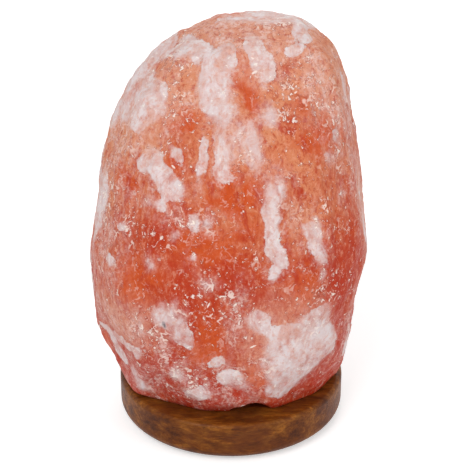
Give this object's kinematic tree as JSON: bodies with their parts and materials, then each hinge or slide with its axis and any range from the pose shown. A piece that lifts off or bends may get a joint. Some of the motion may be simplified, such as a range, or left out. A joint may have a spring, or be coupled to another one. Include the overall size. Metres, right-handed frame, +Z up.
{
  "type": "salt crystal lamp",
  "caption": "Table lamp: a rough drilled block of rock salt screwed on a round turned wooden base, with a pull-out lampholder and a screw-cap bulb inside.",
  "frame": {"origin": "centre of the flat underside of the felt ring, on the base's axis, in the plane that the lamp stands on", "axes": "+Z up along the base's axis, -Y towards the front of the lamp, +Y towards the cord inlet at the back, +X to the right seen from the front"},
  "size_m": [0.1745, 0.1524, 0.263],
  "materials": {
    "salt": "rough, translucent, with white inclusions",
    "dark_wood": "turned, oiled, satin",
    "felt": "pressed felt",
    "zinc_steel": "zinc plated",
    "nylon": "moulded, dull",
    "black_plastic": "moulded, satin",
    "steatite": "unglazed, fine",
    "brass": "rolled, bright",
    "spring_steel": "drawn wire, bright",
    "solder": "soft metal, domed",
    "black_glass": "pressed, glossy",
    "nickel_brass": "nickel plated, rolled",
    "cement": "rough",
    "clear_glass": "clear, blown",
    "lead_wire": "drawn wire",
    "tungsten": "drawn wire, dark"
  },
  "bodies": {
    "lamp": {"salt_crystal": "salt", "wood_base": "dark_wood", "felt_pad": "felt", "base_screws": "zinc_steel", "screw_washers": "zinc_steel", "salt_anchors": "nylon", "cord_bush": "black_plastic"},
    "holder": {"holder_body": "black_plastic", "holder_cap": "black_plastic", "cap_screws": "zinc_steel", "contact_carrier": "steatite", "screw_shell": "brass", "shell_contact": "brass", "centre_contact": "brass", "contact_rivets": "brass", "terminal_blocks": "brass", "terminal_screws": "zinc_steel"},
    "clip_left": {"clip_wing_left": "spring_steel"},
    "clip_right": {"clip_wing_right": "spring_steel"},
    "bulb_seat": {"bulb_contact_tip": "solder"},
    "bulb": {"bulb_cap": "nickel_brass", "bulb_cap_insulator": "black_glass", "bulb_cement": "cement", "bulb_glass": "clear_glass", "bulb_stem": "clear_glass", "bulb_leads": "lead_wire", "bulb_filament": "tungsten", "bulb_support": "lead_wire"}
  },
  "joints": [
    {"name": "holder_pull", "type": "slide", "parent": "lamp", "child": "holder", "axis": [0, 0, -1], "range_m": [0, 0.085]},
    {"name": "clip_left_squeeze", "type": "hinge", "parent": "holder", "child": "clip_left", "pos_m": [-0.0165, 0, 0.0238], "axis": [0, 1, 0], "range_deg": [0, 8], "stiffness_Nm_per_rad": 0.05, "springref_deg": -5.73},
    {"name": "clip_right_squeeze", "type": "hinge", "parent": "holder", "child": "clip_right", "pos_m": [0.0165, 0, 0.0238], "axis": [0, -1, 0], "range_deg": [0, 8], "stiffness_Nm_per_rad": 0.05, "springref_deg": -5.73},
    {"name": "bulb_rise", "type": "slide", "parent": "holder", "child": "bulb_seat", "axis": [0, 0, 1], "range_m": [0, 0.01129]},
    {"name": "bulb_turn", "type": "hinge", "parent": "bulb_seat", "child": "bulb", "pos_m": [0, 0, 0.04], "axis": [0, 0, 1], "range_deg": [0, 1440]}
  ],
  "couplings": [
    {"joint": "bulb_turn", "follows": "bulb_rise", "rad_per_m": 2226.5}
  ]
}
